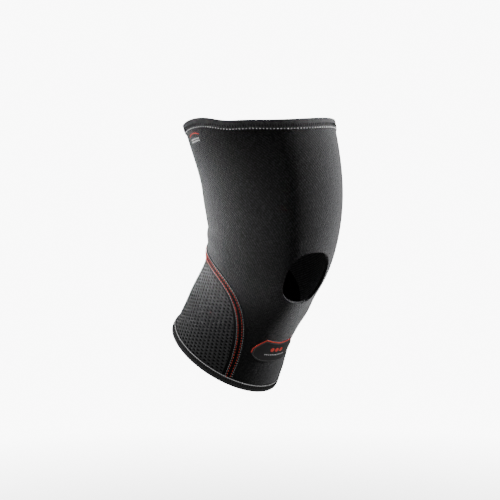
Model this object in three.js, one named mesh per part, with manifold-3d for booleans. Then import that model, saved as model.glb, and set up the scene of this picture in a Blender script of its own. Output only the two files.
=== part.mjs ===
// A knee sleeve in its worn form: a bent, hollow cloth tube with a kneecap window,
// a mesh calf panel under an arched seam, two folded edge bindings and a raised badge.
// Millimetres, +Z up the leg. The knee faces -Y and +X is the wearer's left.
// The origin is inside the knee, on the leg's axis, behind the window's middle.
import * as THREE from 'three';
import { mergeVertices } from 'three/addons/utils/BufferGeometryUtils.js';
import Module from 'manifold-3d';

const wasm = await Module();
wasm.setup();

// The leg that the sleeve is shaped on
const SLEEVE_LENGTH = 251; // from hem to hem along the leg's axis
const THIGH_WIDTH = 142;
const THIGH_DEPTH = 150.5;
const KNEE_WIDTH = 121.5;
const KNEE_DEPTH = 129;
const CALF_WIDTH = 108.5;
const CALF_DEPTH = 115;
const THIGH_LEAN = 19.5; // degrees, the thigh's top leans back
const SHANK_LEAN = 32; // degrees, the shank's foot leans back
const BEND_AT = 0.38; // shares of the length from the top hem
const BEND_SPAN = 0.68;
const KNEE_AT = 0.515;

// Cloth and how the pieces lie on each other
const WALL = 3;
const MESH_WALL = 2.4;
const MESH_SINK = 0.3; // the mesh lies this much lower than the body
const EDGE_GAP = 0.3; // between two edges that face each other
const SEAT_GAP = 0.3; // between two pieces that lie on each other

// Edge bindings, folded over both hems
const TOP_BAND = 9.2;
const BOTTOM_BAND = 7.5;
const BAND_THICK = 1;
const BAND_TUCK = 6; // the leg on the inside

// Calf panel and the flat seam on its arch
const PANEL_RISE = 99.5; // the arch's top above the lower hem
const PANEL_SHOULDER = 5; // higher is squarer
const PANEL_SPREAD = 139; // degrees from the middle of the back to each side
const SEAM_WIDTH = 9.6;
const SEAM_THICK = 0.8;

// Kneecap window, measured over the cloth
const WINDOW_WIDTH = 55;
const WINDOW_HEIGHT = 41;
const WINDOW_SHIFT = -4; // its middle lies this far towards the wearer's right
const WINDOW_SQUARENESS = 2.4;

// Raised badge on the shin
const BADGE_CLEAR = 10.2; // between its tips and the seam on each side
const BADGE_HEIGHT = 26;
const BADGE_TILT = 1.6; // its left tip is this much higher than its middle
const BADGE_LIFT = 35; // its lower edge above the lower hem
const BADGE_THICK = 1.2;

// Cross-sections of the worn form: width, front and back are shares of the girth that a row follows
const GIRTHS = {
  thigh: { width: THIGH_WIDTH, depth: THIGH_DEPTH },
  knee: { width: KNEE_WIDTH, depth: KNEE_DEPTH },
  calf: { width: CALF_WIDTH, depth: CALF_DEPTH },
};
const SECTIONS = [
  { along: -0.1, follows: 'thigh', width: 1.02, front: 0.51, back: 0.51 },
  { along: 0.0, follows: 'thigh', width: 1.0, front: 0.5, back: 0.5 },
  { along: 0.18, follows: 'thigh', width: 0.956, front: 0.478, back: 0.478 },
  { along: 0.36, follows: 'thigh', width: 0.918, front: 0.459, back: 0.459 },
  { along: 0.52, follows: 'knee', width: 1.0, front: 0.5, back: 0.5 },
  { along: 0.66, follows: 'calf', width: 1.0, front: 0.5, back: 0.5 },
  { along: 0.82, follows: 'calf', width: 1.0, front: 0.5, back: 0.5 },
  { along: 1.0, follows: 'calf', width: 1.06, front: 0.53, back: 0.53 },
  { along: 1.06, follows: 'calf', width: 1.075, front: 0.538, back: 0.538 },
];

// Swells and dents: height is a share of the knee's depth, reach a share of the length, angles in degrees from the front
const SWELLS = [
  { along: 0.515, angle: 0, height: 0.008, reach: 0.13, spread: 27 }, // kneecap
  { along: 0.61, angle: 31, height: -0.005, reach: 0.06, spread: 15 }, // hollows beside the tendon
  { along: 0.61, angle: -33, height: -0.008, reach: 0.07, spread: 16 },
  { along: 0.665, angle: 46, height: 0.019, reach: 0.055, spread: 30 }, // shin's left edge
  { along: 0.84, angle: 48, height: -0.016, reach: 0.07, spread: 32 },
  { along: 0.2, angle: 24, height: 0.01, reach: 0.16, spread: 30 }, // thigh muscle
  { along: 0.28, angle: -132, height: 0.014, reach: 0.12, spread: 40 }, // back of the thigh
  { along: 0.445, angle: -128, height: -0.006, reach: 0.026, spread: 28 }, // creases behind the knee
  { along: 0.492, angle: -150, height: 0.004, reach: 0.026, spread: 28 },
  { along: 0.535, angle: -126, height: -0.0055, reach: 0.026, spread: 26 },
  { along: 0.43, angle: 142, height: -0.009, reach: 0.028, spread: 28 },
  { along: 0.53, angle: 148, height: -0.01, reach: 0.028, spread: 26 },
  { along: 0.88, angle: 172, height: 0.012, reach: 0.12, spread: 36 }, // calf muscle
  { along: 0.77, angle: -130, height: 0.02, reach: 0.12, spread: 42 },
  { along: 0.77, angle: 130, height: 0.02, reach: 0.12, spread: 42 },
];

// Hem lines: how far each lies below a level cut at the front, at the wearer's left and in a twist, as shares of the length
const HEMS = {
  top: { front: 0.06, side: 0.04, twist: -0.022 },
  bottom: { front: 0.01, side: 0.016, twist: 0 },
};
// Small waves of the upper hem: rise is a share of the length
const HEM_WAVES = [
  { angle: -128, rise: -0.007, spread: 13 },
  { angle: -96, rise: 0.004, spread: 12 },
  { angle: -74, rise: -0.006, spread: 12 },
];

// The badge's outline: low and high are shares of its height, across is a share of its half width
const BADGE_OUTLINE = [
  { across: 0.0, low: 0.0, high: 0.93 },
  { across: 0.3, low: 0.0, high: 0.96 },
  { across: 0.6, low: 0.02, high: 1.0 },
  { across: 0.76, low: 0.07, high: 0.84 },
  { across: 0.92, low: 0.19, high: 0.64 },
  { across: 1.0, low: 0.3, high: 0.5 },
];

// How finely the cloth is divided
const RING_STEPS = 48;
const TUBE_ROWS = 32;
const ROW_CROWDING = 0.55; // rows lie closer at the knee than at the hems
const ARCH_STEPS = 46;
const PANEL_ROWS = 8;

const rad = (deg) => (deg * Math.PI) / 180;

function interpolate(rows, column, t) {
  const x = rows.map((row) => row.along);
  const y = rows.map(column);
  const n = x.length;
  const slope = (k) => {
    if (k === 0) return (y[1] - y[0]) / (x[1] - x[0]);
    if (k === n - 1) return (y[n - 1] - y[n - 2]) / (x[n - 1] - x[n - 2]);
    const before = x[k] - x[k - 1];
    const after = x[k + 1] - x[k];
    return (before * before * y[k + 1] + (after * after - before * before) * y[k] - after * after * y[k - 1])
      / (before * after * (before + after));
  };
  const s = Math.min(Math.max(t, x[0]), x[n - 1]);
  let i = 0;
  while (i < n - 2 && s > x[i + 1]) i += 1;
  const h = x[i + 1] - x[i];
  const u = (s - x[i]) / h;
  return (2 * u ** 3 - 3 * u ** 2 + 1) * y[i] + (u ** 3 - 2 * u ** 2 + u) * h * slope(i)
    + (-2 * u ** 3 + 3 * u ** 2) * y[i + 1] + (u ** 3 - u ** 2) * h * slope(i + 1);
}

// The leg's axis, bent smoothly, as a table from just above the top hem to just below the lower one
function lean(along) {
  const u = Math.min(Math.max((along - BEND_AT) / BEND_SPAN + 0.5, 0), 1);
  return rad(-THIGH_LEAN + (THIGH_LEAN + SHANK_LEAN) * u * u * (3 - 2 * u));
}
const AXIS_FROM = -0.2;
const AXIS_TO = 1.2;
const AXIS_STEPS = 700;
const axisTable = [{ y: 0, z: 0 }];
for (let i = 0; i < AXIS_STEPS; i += 1) {
  const step = (AXIS_TO - AXIS_FROM) / AXIS_STEPS;
  const angle = lean(AXIS_FROM + (i + 0.5) * step);
  const last = axisTable[i];
  axisTable.push({
    y: last.y + Math.sin(angle) * step * SLEEVE_LENGTH,
    z: last.z - Math.cos(angle) * step * SLEEVE_LENGTH,
  });
}
function axisAt(along) {
  const s = ((along - AXIS_FROM) / (AXIS_TO - AXIS_FROM)) * AXIS_STEPS;
  const i = Math.min(Math.max(Math.floor(s), 0), AXIS_STEPS - 1);
  const a = axisTable[i];
  const b = axisTable[i + 1];
  return { y: a.y + (b.y - a.y) * (s - i), z: a.z + (b.z - a.z) * (s - i) };
}
const kneeOnAxis = axisAt(KNEE_AT);

// The sleeve's outer face at a share of its length and an angle from the front towards +X
function outerFace(along, theta) {
  const half = interpolate(SECTIONS, (row) => (GIRTHS[row.follows].width * row.width) / 2, along);
  const front = interpolate(SECTIONS, (row) => GIRTHS[row.follows].depth * row.front, along);
  const back = interpolate(SECTIONS, (row) => GIRTHS[row.follows].depth * row.back, along);
  let x = half * Math.sin(theta);
  let f = (Math.cos(theta) > 0 ? front : back) * Math.cos(theta);
  const radius = Math.hypot(x, f);
  let lift = 0;
  for (const swell of SWELLS) {
    const turn = ((((theta * 180) / Math.PI - swell.angle + 180) % 360) + 360) % 360 - 180;
    lift += swell.height * KNEE_DEPTH
      * Math.exp(-(((along - swell.along) / swell.reach) ** 2) - (turn / swell.spread) ** 2);
  }
  x *= 1 + lift / radius;
  f *= 1 + lift / radius;
  const centre = axisAt(along);
  const angle = lean(along);
  return new THREE.Vector3(
    x,
    centre.y - kneeOnAxis.y - f * Math.cos(angle),
    centre.z - kneeOnAxis.z - f * Math.sin(angle),
  );
}

const PROBE = 0.002;
function slopes(along, theta) {
  const down = outerFace(along + PROBE, theta).sub(outerFace(along - PROBE, theta)).divideScalar(2 * PROBE);
  const round = outerFace(along, theta + PROBE).sub(outerFace(along, theta - PROBE)).divideScalar(2 * PROBE);
  const out = new THREE.Vector3().crossVectors(down, round).normalize();
  return { down, round, out };
}
// A point at a depth below the outer face, negative above it
function clothPoint(along, theta, depth) {
  return outerFace(along, theta).addScaledVector(slopes(along, theta).out, -depth);
}
// Moves a place on the cloth sideways by some millimetres, given the direction in which a line runs through it
function shiftAcross(place, ahead, distance) {
  const { down, round, out } = slopes(place.along, place.theta);
  const run = new THREE.Vector3().addScaledVector(down, ahead.along).addScaledVector(round, ahead.theta).normalize();
  const across = new THREE.Vector3().crossVectors(out, run);
  const dd = down.dot(down);
  const dr = down.dot(round);
  const rr = round.dot(round);
  const det = dd * rr - dr * dr;
  const a = across.dot(down);
  const b = across.dot(round);
  return {
    along: place.along + ((a * rr - b * dr) / det) * distance,
    theta: place.theta + ((b * dd - a * dr) / det) * distance,
  };
}

function hemAt(hem, theta) {
  return hem.front * Math.cos(theta) + hem.side * Math.sin(theta) + hem.twist * Math.sin(2 * theta);
}
const turned = (theta, angle) => ((((theta * 180) / Math.PI - angle + 180) % 360) + 360) % 360 - 180;
const topHem = (theta) => HEM_WAVES.reduce(
  (line, wave) => line - wave.rise * Math.exp(-((turned(theta, wave.angle) / wave.spread) ** 2)),
  hemAt(HEMS.top, theta),
);
const bottomHem = (theta) => 1 + hemAt(HEMS.bottom, theta);
const aboveBottom = (theta, height) => bottomHem(theta) - height / SLEEVE_LENGTH;

// Builders of closed solids
function solid(positions, index) {
  let volume = 0;
  for (let i = 0; i < index.length; i += 3) {
    const [a, b, c] = [positions[index[i]], positions[index[i + 1]], positions[index[i + 2]]];
    volume += a.dot(new THREE.Vector3().crossVectors(b, c)) / 6;
  }
  const faces = index.slice();
  if (volume < 0) {
    for (let i = 0; i < faces.length; i += 3) [faces[i + 1], faces[i + 2]] = [faces[i + 2], faces[i + 1]];
  }
  const geometry = new THREE.BufferGeometry();
  geometry.setAttribute('position', new THREE.Float32BufferAttribute(positions.flatMap((p) => p.toArray()), 3));
  geometry.setIndex(faces);
  return geometry;
}
// Two facing grids, one above the other, closed at their edges; the columns may run round and meet
function slab(upper, lower, meets) {
  const columns = upper.length;
  const rows = upper[0].length;
  const positions = [...upper.flat(), ...lower.flat()];
  const at = (side, i, j) => side * columns * rows + (i % columns) * rows + j;
  const index = [];
  const quad = (a, b, c, d) => index.push(a, b, c, a, c, d);
  const last = meets ? columns : columns - 1;
  for (let i = 0; i < last; i += 1) {
    for (let j = 0; j < rows - 1; j += 1) {
      quad(at(0, i, j), at(0, i, j + 1), at(0, i + 1, j + 1), at(0, i + 1, j));
      quad(at(1, i, j), at(1, i + 1, j), at(1, i + 1, j + 1), at(1, i, j + 1));
    }
    quad(at(0, i, 0), at(0, i + 1, 0), at(1, i + 1, 0), at(1, i, 0));
    quad(at(0, i, rows - 1), at(1, i, rows - 1), at(1, i + 1, rows - 1), at(0, i + 1, rows - 1));
  }
  if (!meets) {
    for (let j = 0; j < rows - 1; j += 1) {
      quad(at(0, 0, j), at(1, 0, j), at(1, 0, j + 1), at(0, 0, j + 1));
      quad(at(0, columns - 1, j), at(0, columns - 1, j + 1), at(1, columns - 1, j + 1), at(1, columns - 1, j));
    }
  }
  return solid(positions, index);
}
// A closed section swept along stations, which meet in a ring or end in flat faces
function sweep(stations, meets) {
  const count = stations[0].length;
  const positions = stations.flat();
  const at = (i, j) => (i % stations.length) * count + (j % count);
  const index = [];
  const last = meets ? stations.length : stations.length - 1;
  for (let i = 0; i < last; i += 1) {
    for (let j = 0; j < count; j += 1) {
      index.push(at(i, j), at(i, j + 1), at(i + 1, j + 1), at(i, j), at(i + 1, j + 1), at(i + 1, j));
    }
  }
  if (!meets) {
    for (const [i, turned] of [[0, true], [stations.length - 1, false]]) {
      for (let j = 1; j < count - 1; j += 1) {
        if (turned) index.push(at(i, 0), at(i, j + 1), at(i, j));
        else index.push(at(i, 0), at(i, j), at(i, j + 1));
      }
    }
  }
  return solid(positions, index);
}

function toManifold(geometry) {
  const bare = geometry.clone();
  bare.deleteAttribute('normal');
  bare.deleteAttribute('uv');
  const merged = mergeVertices(bare, 1e-4);
  return new wasm.Manifold(new wasm.Mesh({
    numProp: 3,
    vertProperties: new Float32Array(merged.attributes.position.array),
    triVerts: new Uint32Array(merged.index.array),
  }));
}
function fromManifold(body) {
  const mesh = body.getMesh();
  const geometry = new THREE.BufferGeometry();
  geometry.setAttribute('position', new THREE.BufferAttribute(new Float32Array(mesh.vertProperties), 3));
  geometry.setIndex(Array.from(mesh.triVerts));
  return geometry;
}

// The arch between the body and the calf panel, from the wearer's left over the back to the right
const ARCH_FEET = 0.93; // beyond this share of its run each side of the arch falls straight to the hem
function archPlace(t) {
  const q = Math.sin((Math.PI / 2) * Math.min(Math.abs(t), ARCH_FEET));
  const fall = Math.min(Math.max((1 - Math.abs(t)) / (1 - ARCH_FEET), 0), 1);
  const height = PANEL_RISE * (1 - q ** PANEL_SHOULDER) ** 0.4 * fall;
  const theta = Math.PI - Math.sign(t) * rad(PANEL_SPREAD) * (q + (1 - q) * (1 - fall));
  return { along: aboveBottom(theta, height), theta };
}
function archShifted(t, distance) {
  const step = 0.002;
  const a = archPlace(Math.max(t - step, -1));
  const b = archPlace(Math.min(t + step, 1));
  return shiftAcross(archPlace(t), { along: b.along - a.along, theta: b.theta - a.theta }, distance);
}
// Which way is inside the panel: the sign of the shift that lowers the arch's top
const INWARD = archShifted(0, 1).along > archPlace(0).along ? 1 : -1;
function archColumns(distance, belowHem) {
  const columns = [];
  for (let i = 0; i <= ARCH_STEPS; i += 1) {
    const edge = archShifted(-1 + (2 * i) / ARCH_STEPS, distance * INWARD);
    const foot = aboveBottom(edge.theta, -belowHem);
    columns.push(Array.from({ length: PANEL_ROWS + 1 }, (_, j) => (
      { along: edge.along + ((foot - edge.along) * j) / PANEL_ROWS, theta: edge.theta })));
  }
  return columns;
}
const atDepth = (grid, depth) => grid.map((column) => column.map((p) => clothPoint(p.along, p.theta, depth)));

// Body panel: the whole tube, less the calf panel's place and the kneecap window
const ringAngles = Array.from({ length: RING_STEPS }, (_, i) => (2 * Math.PI * (i + 0.5)) / RING_STEPS - Math.PI);
const rowShare = (j) => j / TUBE_ROWS + (ROW_CROWDING * Math.sin((2 * Math.PI * j) / TUBE_ROWS)) / (2 * Math.PI);
const tubeGrid = ringAngles.map((theta) => Array.from({ length: TUBE_ROWS + 1 }, (_, j) => (
  { along: topHem(theta) + (bottomHem(theta) - topHem(theta)) * rowShare(j), theta })));
const tube = toManifold(slab(atDepth(tubeGrid, 0), atDepth(tubeGrid, WALL), true));
const panelPlace = archColumns(-EDGE_GAP / 2, WALL * 4);
const panelCutter = toManifold(slab(atDepth(panelPlace, -WALL), atDepth(panelPlace, WALL * 2), false));

const kneeRadius = (KNEE_WIDTH + KNEE_DEPTH) / 4;
function windowRing(depth, steps) {
  return Array.from({ length: steps }, (_, i) => {
    const turn = (2 * Math.PI * (i + 0.5)) / steps;
    const c = Math.cos(turn);
    const s = Math.sin(turn);
    const r = (Math.abs(c) ** WINDOW_SQUARENESS + Math.abs(s) ** WINDOW_SQUARENESS) ** (-1 / WINDOW_SQUARENESS);
    const along = KNEE_AT + ((WINDOW_HEIGHT / 2) * c * r) / SLEEVE_LENGTH;
    const theta = (WINDOW_SHIFT + (WINDOW_WIDTH / 2) * s * r) / kneeRadius;
    return clothPoint(along, theta, depth);
  });
}
const WINDOW_STEPS = 44;
const windowCutter = toManifold(sweep([
  windowRing(-WALL * 4, WINDOW_STEPS),
  windowRing(WALL * 5, WINDOW_STEPS),
], false));
const bodyGeometry = fromManifold(tube.subtract(panelCutter).subtract(windowCutter));

// Calf panel of mesh cloth, a little lower than the body
const panelGrid = archColumns(EDGE_GAP / 2, 0);
const meshGeometry = slab(atDepth(panelGrid, MESH_SINK), atDepth(panelGrid, MESH_SINK + MESH_WALL), false);

// Flat seam strip over the joint, ending just above the lower binding
const SEAM_SECTION = [
  { side: -1, height: 0 }, { side: -1, height: 0.6 }, { side: -0.8, height: 1 }, { side: -0.27, height: 1 },
  { side: 0.27, height: 1 }, { side: 0.8, height: 1 }, { side: 1, height: 0.6 }, { side: 1, height: 0 },
  { side: 0.33, height: 0 }, { side: -0.33, height: 0 },
];
const seamFoot = BOTTOM_BAND - BAND_THICK + EDGE_GAP;
function heightAboveHem(place) {
  return (bottomHem(place.theta) - place.along) * SLEEVE_LENGTH;
}
function seamEnd(side) {
  let inner = 0;
  let outer = side;
  for (let i = 0; i < 40; i += 1) {
    const middle = (inner + outer) / 2;
    if (heightAboveHem(archPlace(middle)) > seamFoot) inner = middle;
    else outer = middle;
  }
  return inner;
}
const seamFrom = seamEnd(-1);
const seamTo = seamEnd(1);
const SEAM_STEPS = 56;
const seamGeometry = sweep(Array.from({ length: SEAM_STEPS + 1 }, (_, i) => {
  const t = seamFrom + ((seamTo - seamFrom) * i) / SEAM_STEPS;
  return SEAM_SECTION.map((corner) => {
    const place = archShifted(t, (corner.side * SEAM_WIDTH) / 2);
    return clothPoint(place.along, place.theta, -SEAT_GAP - corner.height * SEAM_THICK);
  });
}), false);

// A binding folded over a hem: over is how far a corner lies past the hem, in is its depth
function bindingGeometry(hemLine, sign, band) {
  const outside = -SEAT_GAP - BAND_THICK;
  const inside = WALL + SEAT_GAP + BAND_THICK;
  const past = EDGE_GAP + BAND_THICK;
  const reach = band - past;
  const tuck = BAND_TUCK - past;
  const section = [
    { over: -reach, depth: -SEAT_GAP }, { over: -reach, depth: outside + BAND_THICK * 0.35 },
    { over: -reach + BAND_THICK * 0.5, depth: outside }, { over: -reach / 2, depth: outside },
    { over: EDGE_GAP * 0.5, depth: outside }, { over: past * 0.75, depth: -SEAT_GAP * 0.5 },
    { over: past, depth: WALL * 0.35 }, { over: past, depth: WALL * 0.65 },
    { over: past * 0.75, depth: WALL + SEAT_GAP * 0.5 }, { over: EDGE_GAP * 0.5, depth: inside },
    { over: -tuck, depth: inside }, { over: -tuck, depth: WALL + SEAT_GAP },
    { over: EDGE_GAP, depth: WALL + SEAT_GAP }, { over: EDGE_GAP, depth: -SEAT_GAP },
  ];
  return sweep(ringAngles.map((theta) => section.map((corner) => (
    clothPoint(hemLine(theta) + (sign * corner.over) / SLEEVE_LENGTH, theta, corner.depth)))), true);
}

// Raised badge on the shin, following the cloth
const calfRadius = (CALF_WIDTH + CALF_DEPTH) / 4;
const badgeTip = BADGE_LIFT + BADGE_HEIGHT * 0.4; // the height of its tips above the lower hem
function seamAtHeight(height) {
  let back = 0;
  let foot = 1;
  for (let i = 0; i < 40; i += 1) {
    const middle = (back + foot) / 2;
    if (heightAboveHem(archPlace(middle)) > height) back = middle;
    else foot = middle;
  }
  return archPlace(back).theta;
}
const badgeHalf = seamAtHeight(badgeTip) * calfRadius - SEAM_WIDTH / 2 - BADGE_CLEAR;
const badgeColumns = [...BADGE_OUTLINE.slice(1).reverse().map((row) => ({ ...row, across: -row.across })), ...BADGE_OUTLINE];
const BADGE_ROWS = 4;
const badgeGrid = badgeColumns.map((row) => {
  const theta = (badgeHalf * row.across) / calfRadius;
  return Array.from({ length: BADGE_ROWS + 1 }, (_, j) => {
    const share = row.high + ((row.low - row.high) * j) / BADGE_ROWS;
    return { along: aboveBottom(theta, BADGE_LIFT + share * BADGE_HEIGHT + BADGE_TILT * row.across), theta };
  });
});
const badgeGeometry = slab(atDepth(badgeGrid, -SEAT_GAP - BADGE_THICK), atDepth(badgeGrid, -SEAT_GAP), false);

const knit = new THREE.MeshStandardMaterial({ color: 0x2a2a2c, roughness: 0.82, metalness: 0 });
const meshCloth = new THREE.MeshStandardMaterial({ color: 0x4a4b4d, roughness: 0.85, metalness: 0 });
const binding = new THREE.MeshStandardMaterial({ color: 0x222224, roughness: 0.8, metalness: 0 });
const seamThread = new THREE.MeshStandardMaterial({ color: 0x6e3a38, roughness: 0.8, metalness: 0 });
const rubber = new THREE.MeshStandardMaterial({ color: 0x303032, roughness: 0.55, metalness: 0 });

const sleeve = new THREE.Group();
function add(name, geometry, material) {
  const mesh = new THREE.Mesh(geometry, material);
  mesh.name = name;
  sleeve.add(mesh);
}
add('body_panel', bodyGeometry, knit);
add('mesh_panel', meshGeometry, meshCloth);
add('arch_seam', seamGeometry, seamThread);
add('top_binding', bindingGeometry(topHem, -1, TOP_BAND), binding);
add('bottom_binding', bindingGeometry(bottomHem, 1, BOTTOM_BAND), binding);
add('badge', badgeGeometry, rubber);

export default sleeve;
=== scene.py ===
import math
import bpy
import numpy as np
from mathutils import Matrix, Vector


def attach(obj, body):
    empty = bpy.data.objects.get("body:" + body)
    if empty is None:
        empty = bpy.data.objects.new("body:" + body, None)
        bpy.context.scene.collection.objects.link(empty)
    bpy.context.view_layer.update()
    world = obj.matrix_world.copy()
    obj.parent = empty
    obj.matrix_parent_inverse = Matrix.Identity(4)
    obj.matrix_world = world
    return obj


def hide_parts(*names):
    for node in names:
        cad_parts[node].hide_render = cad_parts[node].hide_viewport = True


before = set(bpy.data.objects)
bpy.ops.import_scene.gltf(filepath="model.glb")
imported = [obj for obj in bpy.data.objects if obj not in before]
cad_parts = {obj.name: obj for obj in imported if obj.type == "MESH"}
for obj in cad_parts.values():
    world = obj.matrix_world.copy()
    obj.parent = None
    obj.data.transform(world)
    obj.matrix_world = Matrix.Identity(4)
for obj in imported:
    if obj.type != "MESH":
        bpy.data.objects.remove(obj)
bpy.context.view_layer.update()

MM = 0.001

# The leg that the sleeve is shaped on, as in the model's source, in millimetres and degrees
SLEEVE_LENGTH = 251.0
THIGH = (142.0, 150.5)  # width, depth
KNEE = (121.5, 129.0)
CALF = (108.5, 115.0)
THIGH_LEAN, SHANK_LEAN = 19.5, 32.0
BEND_AT, BEND_SPAN, KNEE_AT = 0.38, 0.68, 0.515
WALL, MESH_WALL, MESH_SINK = 3.0, 2.4, 0.3
TOP_BAND, BOTTOM_BAND, BAND_TUCK = 9.2, 7.5, 6.0
PANEL_RISE, PANEL_SPREAD, PANEL_SHOULDER, ARCH_FEET = 99.5, 139.0, 5, 0.93
SEAM_WIDTH = 9.6
WINDOW_WIDTH, WINDOW_HEIGHT, WINDOW_SHIFT, WINDOW_SQUARENESS = 55.0, 41.0, -4.0, 2.4
BADGE_CLEAR, BADGE_HEIGHT, BADGE_LIFT, BADGE_TILT = 10.2, 26.0, 35.0, 1.6
KNEE_RADIUS = (KNEE[0] + KNEE[1]) / 4
CALF_RADIUS = (CALF[0] + CALF[1]) / 4
THIGH_RADIUS = (THIGH[0] + THIGH[1]) / 4

# along, width in mm, front in mm, back in mm
SECTIONS = [
    (-0.1, THIGH[0] * 1.02, THIGH[1] * 0.51, THIGH[1] * 0.51),
    (0.0, THIGH[0], THIGH[1] * 0.5, THIGH[1] * 0.5),
    (0.18, THIGH[0] * 0.956, THIGH[1] * 0.478, THIGH[1] * 0.478),
    (0.36, THIGH[0] * 0.918, THIGH[1] * 0.459, THIGH[1] * 0.459),
    (0.52, KNEE[0], KNEE[1] * 0.5, KNEE[1] * 0.5),
    (0.66, CALF[0], CALF[1] * 0.5, CALF[1] * 0.5),
    (0.82, CALF[0], CALF[1] * 0.5, CALF[1] * 0.5),
    (1.0, CALF[0] * 1.06, CALF[1] * 0.53, CALF[1] * 0.53),
    (1.06, CALF[0] * 1.075, CALF[1] * 0.538, CALF[1] * 0.538),
]
# along, angle from the front, height as a share of the knee's depth, reach as a share of the length, spread in degrees
SWELLS = [
    (0.515, 0, 0.008, 0.13, 27),
    (0.61, 31, -0.005, 0.06, 15),
    (0.61, -33, -0.008, 0.07, 16),
    (0.665, 46, 0.019, 0.055, 30),
    (0.84, 48, -0.016, 0.07, 32),
    (0.2, 24, 0.01, 0.16, 30),
    (0.28, -132, 0.014, 0.12, 40),
    (0.445, -128, -0.006, 0.026, 28),
    (0.492, -150, 0.004, 0.026, 28),
    (0.535, -126, -0.0055, 0.026, 26),
    (0.43, 142, -0.009, 0.028, 28),
    (0.53, 148, -0.01, 0.028, 26),
    (0.88, 172, 0.012, 0.12, 36),
    (0.77, -130, 0.02, 0.12, 42),
    (0.77, 130, 0.02, 0.12, 42),
]
# front, side, twist, as shares of the length
TOP_HEM = (0.06, 0.04, -0.022)
BOTTOM_HEM = (0.01, 0.016, 0.0)
HEM_WAVES = [(-128, -0.007, 13), (-96, 0.004, 12), (-74, -0.006, 12)]  # angle, rise, spread


def interpolate(column, t):
    x = np.array([row[0] for row in SECTIONS])
    y = np.array([row[column] for row in SECTIONS])
    slope = np.gradient(y, x)
    s = np.clip(t, x[0], x[-1])
    i = np.clip(np.searchsorted(x, s, side="right") - 1, 0, len(x) - 2)
    h = x[i + 1] - x[i]
    u = (s - x[i]) / h
    return ((2 * u**3 - 3 * u**2 + 1) * y[i] + (u**3 - 2 * u**2 + u) * h * slope[i]
            + (-2 * u**3 + 3 * u**2) * y[i + 1] + (u**3 - u**2) * h * slope[i + 1])


def lean(along):
    u = np.clip((along - BEND_AT) / BEND_SPAN + 0.5, 0, 1)
    return np.radians(-THIGH_LEAN + (THIGH_LEAN + SHANK_LEAN) * u * u * (3 - 2 * u))


axis_steps = np.linspace(-0.2, 1.2, 701)
axis_mid = (axis_steps[:-1] + axis_steps[1:]) / 2
axis_y = np.concatenate([[0], np.cumsum(np.sin(lean(axis_mid)))]) * SLEEVE_LENGTH * 1.4 / 700
axis_z = np.concatenate([[0], np.cumsum(-np.cos(lean(axis_mid)))]) * SLEEVE_LENGTH * 1.4 / 700
axis_y -= np.interp(KNEE_AT, axis_steps, axis_y)
axis_z -= np.interp(KNEE_AT, axis_steps, axis_z)


def outer_face(along, theta):
    along, theta = np.broadcast_arrays(np.asarray(along, float), np.asarray(theta, float))
    half, front, back = (interpolate(c, along) for c in (1, 2, 3))
    x = half / 2 * np.sin(theta)
    f = np.where(np.cos(theta) > 0, front, back) * np.cos(theta)
    lift = np.zeros_like(x)
    for at, angle, height, reach, spread in SWELLS:
        turn = (np.degrees(theta) - angle + 180) % 360 - 180
        lift += height * KNEE[1] * np.exp(-(((along - at) / reach) ** 2) - (turn / spread) ** 2)
    grow = 1 + lift / np.hypot(x, f)
    x, f = x * grow, f * grow
    tilt = lean(along)
    y0 = np.interp(along, axis_steps, axis_y)
    z0 = np.interp(along, axis_steps, axis_z)
    return np.stack([x, y0 - f * np.cos(tilt), z0 - f * np.sin(tilt)], -1)


def slopes(along, theta):
    d = 0.002
    down = (outer_face(along + d, theta) - outer_face(along - d, theta)) / (2 * d)
    around = (outer_face(along, theta + d) - outer_face(along, theta - d)) / (2 * d)
    out = np.cross(down, around)
    return down, around, out / np.linalg.norm(out, axis=-1, keepdims=True)


def cloth(along, theta, depth):
    """Points at a depth in mm below the outer face, negative above it."""
    depth = np.broadcast_to(np.asarray(depth, float), np.broadcast(along, theta).shape)
    return outer_face(along, theta) - slopes(along, theta)[2] * depth[..., None]


def hem(shape, theta):
    return shape[0] * np.cos(theta) + shape[1] * np.sin(theta) + shape[2] * np.sin(2 * theta)


def top_hem(theta):
    line = hem(TOP_HEM, theta)
    for angle, rise, spread in HEM_WAVES:
        line = line - rise * np.exp(-((((np.degrees(theta) - angle + 180) % 360 - 180) / spread) ** 2))
    return line


def bottom_hem(theta):
    return 1 + hem(BOTTOM_HEM, theta)


def above_bottom(theta, height):
    return bottom_hem(theta) - height / SLEEVE_LENGTH


def arch(t, grow=0.0):
    """The line between body and calf panel, from t = -1 on the -X side over the back to 1."""
    q = np.sin(np.pi / 2 * np.minimum(np.abs(t), ARCH_FEET))
    fall = np.clip((1 - np.abs(t)) / (1 - ARCH_FEET), 0, 1)
    height = (PANEL_RISE + grow) * (1 - q**PANEL_SHOULDER) ** 0.4 * fall
    theta = np.pi - np.sign(t) * np.radians(PANEL_SPREAD + math.degrees(grow / CALF_RADIUS)) * (q + (1 - q) * (1 - fall))
    return above_bottom(theta, height), theta


def sideways(along, theta, run_along, run_theta, distance):
    """Moves places on the cloth sideways from a line that runs through them, by some millimetres."""
    down, around, out = slopes(along, theta)
    run = down * np.asarray(run_along)[..., None] + around * np.asarray(run_theta)[..., None]
    run /= np.linalg.norm(run, axis=-1, keepdims=True)
    across = np.cross(out, run)
    dd, dr, rr = (down * down).sum(-1), (down * around).sum(-1), (around * around).sum(-1)
    det = dd * rr - dr * dr
    a, b = (across * down).sum(-1), (across * around).sum(-1)
    return along + (a * rr - b * dr) / det * distance, theta + (b * dd - a * dr) / det * distance


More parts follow.
